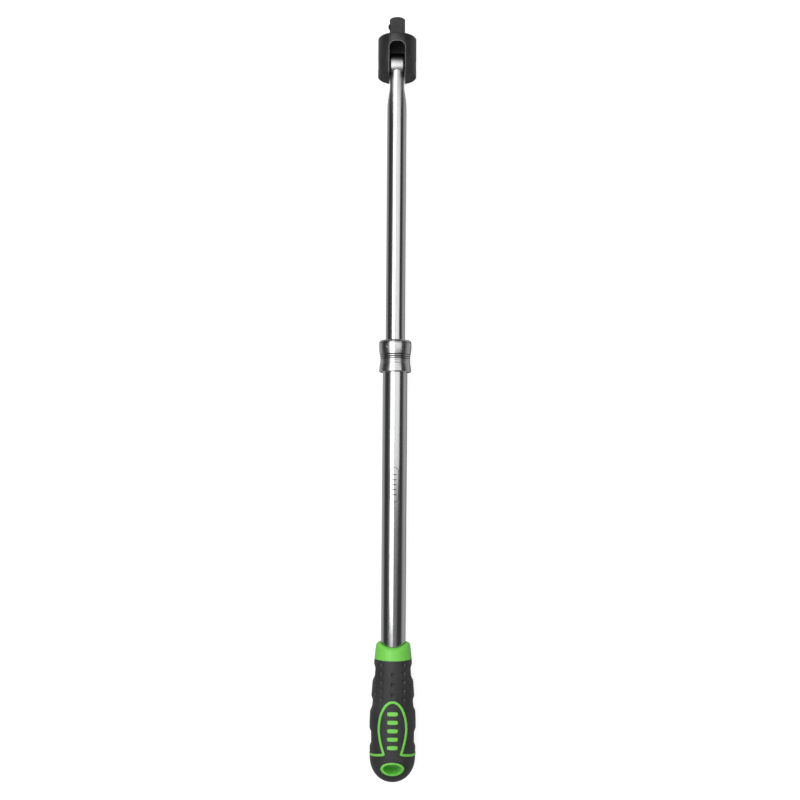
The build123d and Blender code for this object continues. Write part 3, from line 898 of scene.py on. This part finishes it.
# everything behind the middle of the raised line, seen from above
def lineCutter():
    foot = grip["foot"]
    half = [place for place in linePath() if abs(place[1]) < 0.9 and place[0] > foot - 0.01]
    outline = [(x, float(flankRadius(np.array([x]))[0]) * math.sin(turn)) for x, turn in half]
    spots = set((round(x, 4), round(y, 4)) for x, y in outline)
    outline = sorted(spots, key=lambda spot: math.atan2(spot[1], spot[0] - foot + 0.01))
    outline = [(foot - 0.05, -26)] + outline + [(foot - 0.05, 26), (-640, 26), (-640, -26)]
    deselectAll()
    bpy.ops.mesh.primitive_plane_add(size=mm)
    block = named("lineCutter")
    bpy.ops.object.mode_set(mode="EDIT")
    bpy.ops.mesh.select_mode(type="VERT")
    bpy.ops.mesh.select_all(action="SELECT")
    bpy.ops.mesh.merge(type="CENTER")
    x, y = outline[0]
    bpy.ops.transform.translate(value=(x * mm, y * mm, -30 * mm))
    for nextX, nextY in outline[1:]:
        move = ((nextX - x) * mm, (nextY - y) * mm, 0)
        bpy.ops.mesh.extrude_region_move(TRANSFORM_OT_translate={"value": move})
        x, y = nextX, nextY
    bpy.ops.mesh.select_all(action="SELECT")
    bpy.ops.mesh.edge_face_add()
    bpy.ops.mesh.extrude_region_move(TRANSFORM_OT_translate={"value": (0, 0, 60 * mm)})
    bpy.ops.object.mode_set(mode="OBJECT")
    return tidyMesh(block)


def makeRubberParts():
    along = np.linspace(grip["ringEnd"], grip["tail"], 232)
    roll = np.linspace(0, np.pi / 2, 56)[1:]
    tail = grip["tail"] - (grip["tail"] - grip["end"]) * np.sin(roll) ** (2 / grip["endPower"])
    bore = np.linspace(grip["liningEnd"], grip["ringEnd"], 24)
    x = np.concatenate([bore[:1], bore, along, tail])
    lining = 1 + len(bore)
    rows = len(x) - 1
    columns = 300

    def place(row, column):
        turn = 2 * np.pi * column / columns
        spot = gripSkin(x[row], turn)
        radius = np.where(row == 0, 0, grip["core"])
        inner = row < lining
        spot[:, 1] = np.where(inner, radius * np.sin(turn), spot[:, 1])
        spot[:, 2] = np.where(inner, radius * np.cos(turn), spot[:, 2])
        return spot

    sleeve = wrappedGrid("gripSleeve", rows, columns, place)
    cut(sleeve, ovalCutter(1.4))
    pick(sleeve)
    bpy.ops.object.duplicate()
    cover = named("gripEndCover")
    cutter = lineCutter()
    cut(cover, cutter, "INTERSECT", keepCutter=True)
    cut(sleeve, cutter)
    smooth(tidyMesh(sleeve), 50)
    smooth(tidyMesh(cover), 50)
    finishPiece(sleeve, "grip_rubber", "handle", "grip_sleeve")
    finishPiece(cover, "grip_rubber", "handle", "grip_end_cover")


makeCore()
makeRubberParts()
print("grip made")


# carried-over pieces take their finish
slotOfNode = {part["node"]: part["material_slot"] for part in frame["record"]["subparts"]}
for name, node in frame["nodes"].items():
    node.data.materials.clear()
    node.data.materials.append(finishes[slotOfNode[name]])


stage = {
    "floor": -0.0173, "dome": 5.5, "glow": 0.88, "floorGrey": 0.3, "lean": 0.175,
    "sky": (
        (-1.0, 0.02), (-0.94, 0.06), (-0.84, 0.6), (-0.35, 0.52),
        (-0.12, 0.33), (0.08, 0.06), (0.62, 0.06), (0.85, 0.3),
    ),
}


def makeStage():
    deselectAll()
    bpy.ops.mesh.primitive_plane_add(size=12, location=(-0.3, 0, stage["floor"]))
    floor = named("studioFloor")
    shader = newShader("paleFloor")
    shader.set(Base_Color=grey(stage["floorGrey"]), Roughness=0.8)
    shader.set(Emission_Color=grey(1.0), Emission_Strength=stage["glow"])
    floor.data.materials.append(shader.owner)

    # a white dome hides the room from the camera, and the bar is lit by the room behind it
    bpy.ops.mesh.primitive_uv_sphere_add(
        segments=64, ring_count=32, radius=stage["dome"], location=(-0.3, 0, 0))
    dome = named("studioDome")
    shader = newShader("paleDome")
    shader.set(Base_Color=grey(0.0), Emission_Color=grey(1.0), Emission_Strength=1.0)
    dome.data.materials.append(shader.owner)
    bpy.ops.object.shade_smooth()
    for piece in (floor, dome):
        piece.visible_glossy = False
        piece.visible_diffuse = False

    # the room: pale below, a dim band that draws the dark lines on the metal, soft light above
    world = bpy.data.worlds.new("studio")
    bpy.context.scene.world = world
    room = Shader(world, "Background")
    x, y, z = room.add("SeparateXYZ", None, {0: room.add("TexCoord")[0]})
    height = room.range(z + y * stage["lean"], 0, 1, -1, 1)
    stops = [((place + 1) / 2, level) for place, level in stage["sky"]]
    room.set(Color=room.add("ValToRGB", {"stops": stops}, {0: height})[0])


def makeLight(name, place, size, watts, aim=(0, 0, -1)):
    lamp = bpy.data.lights.new(name, "AREA")
    lamp.shape = "RECTANGLE"
    lamp.size, lamp.size_y = size
    lamp.energy = watts
    obj = bpy.data.objects.new(name, lamp)
    bpy.context.collection.objects.link(obj)
    obj.location = place
    obj.rotation_euler = Vector(aim).to_track_quat("-Z", "Y").to_euler()
    obj.visible_camera = False
    return obj


def makeCamera():
    view = {"focal": 1100, "scale": 0.833 * mm, "centre": (-0.3465, -0.0046), "shift": 55 / 800, "lean": 0.4}
    camera = bpy.data.cameras.new("studioCamera")
    camera.sensor_width = 36
    camera.lens = 36 * view["focal"] / 800
    camera.shift_y = view["shift"]
    obj = bpy.data.objects.new("studioCamera", camera)
    bpy.context.collection.objects.link(obj)
    x, y = view["centre"]
    obj.location = (x, y, view["focal"] * view["scale"])
    obj.rotation_euler = (0, 0, math.radians(-90 + view["lean"]))
    bpy.context.scene.camera = obj


makeStage()
makeLight("mainSoftbox", (0.05, 0.58, 1.35), (1.9, 0.96), 17.5)
makeLight("sideSoftbox", (0.06, -0.7, 1.35), (1.1, 1.38), 5.6)
makeCamera()
bpy.context.scene.view_settings.view_transform = "Standard"
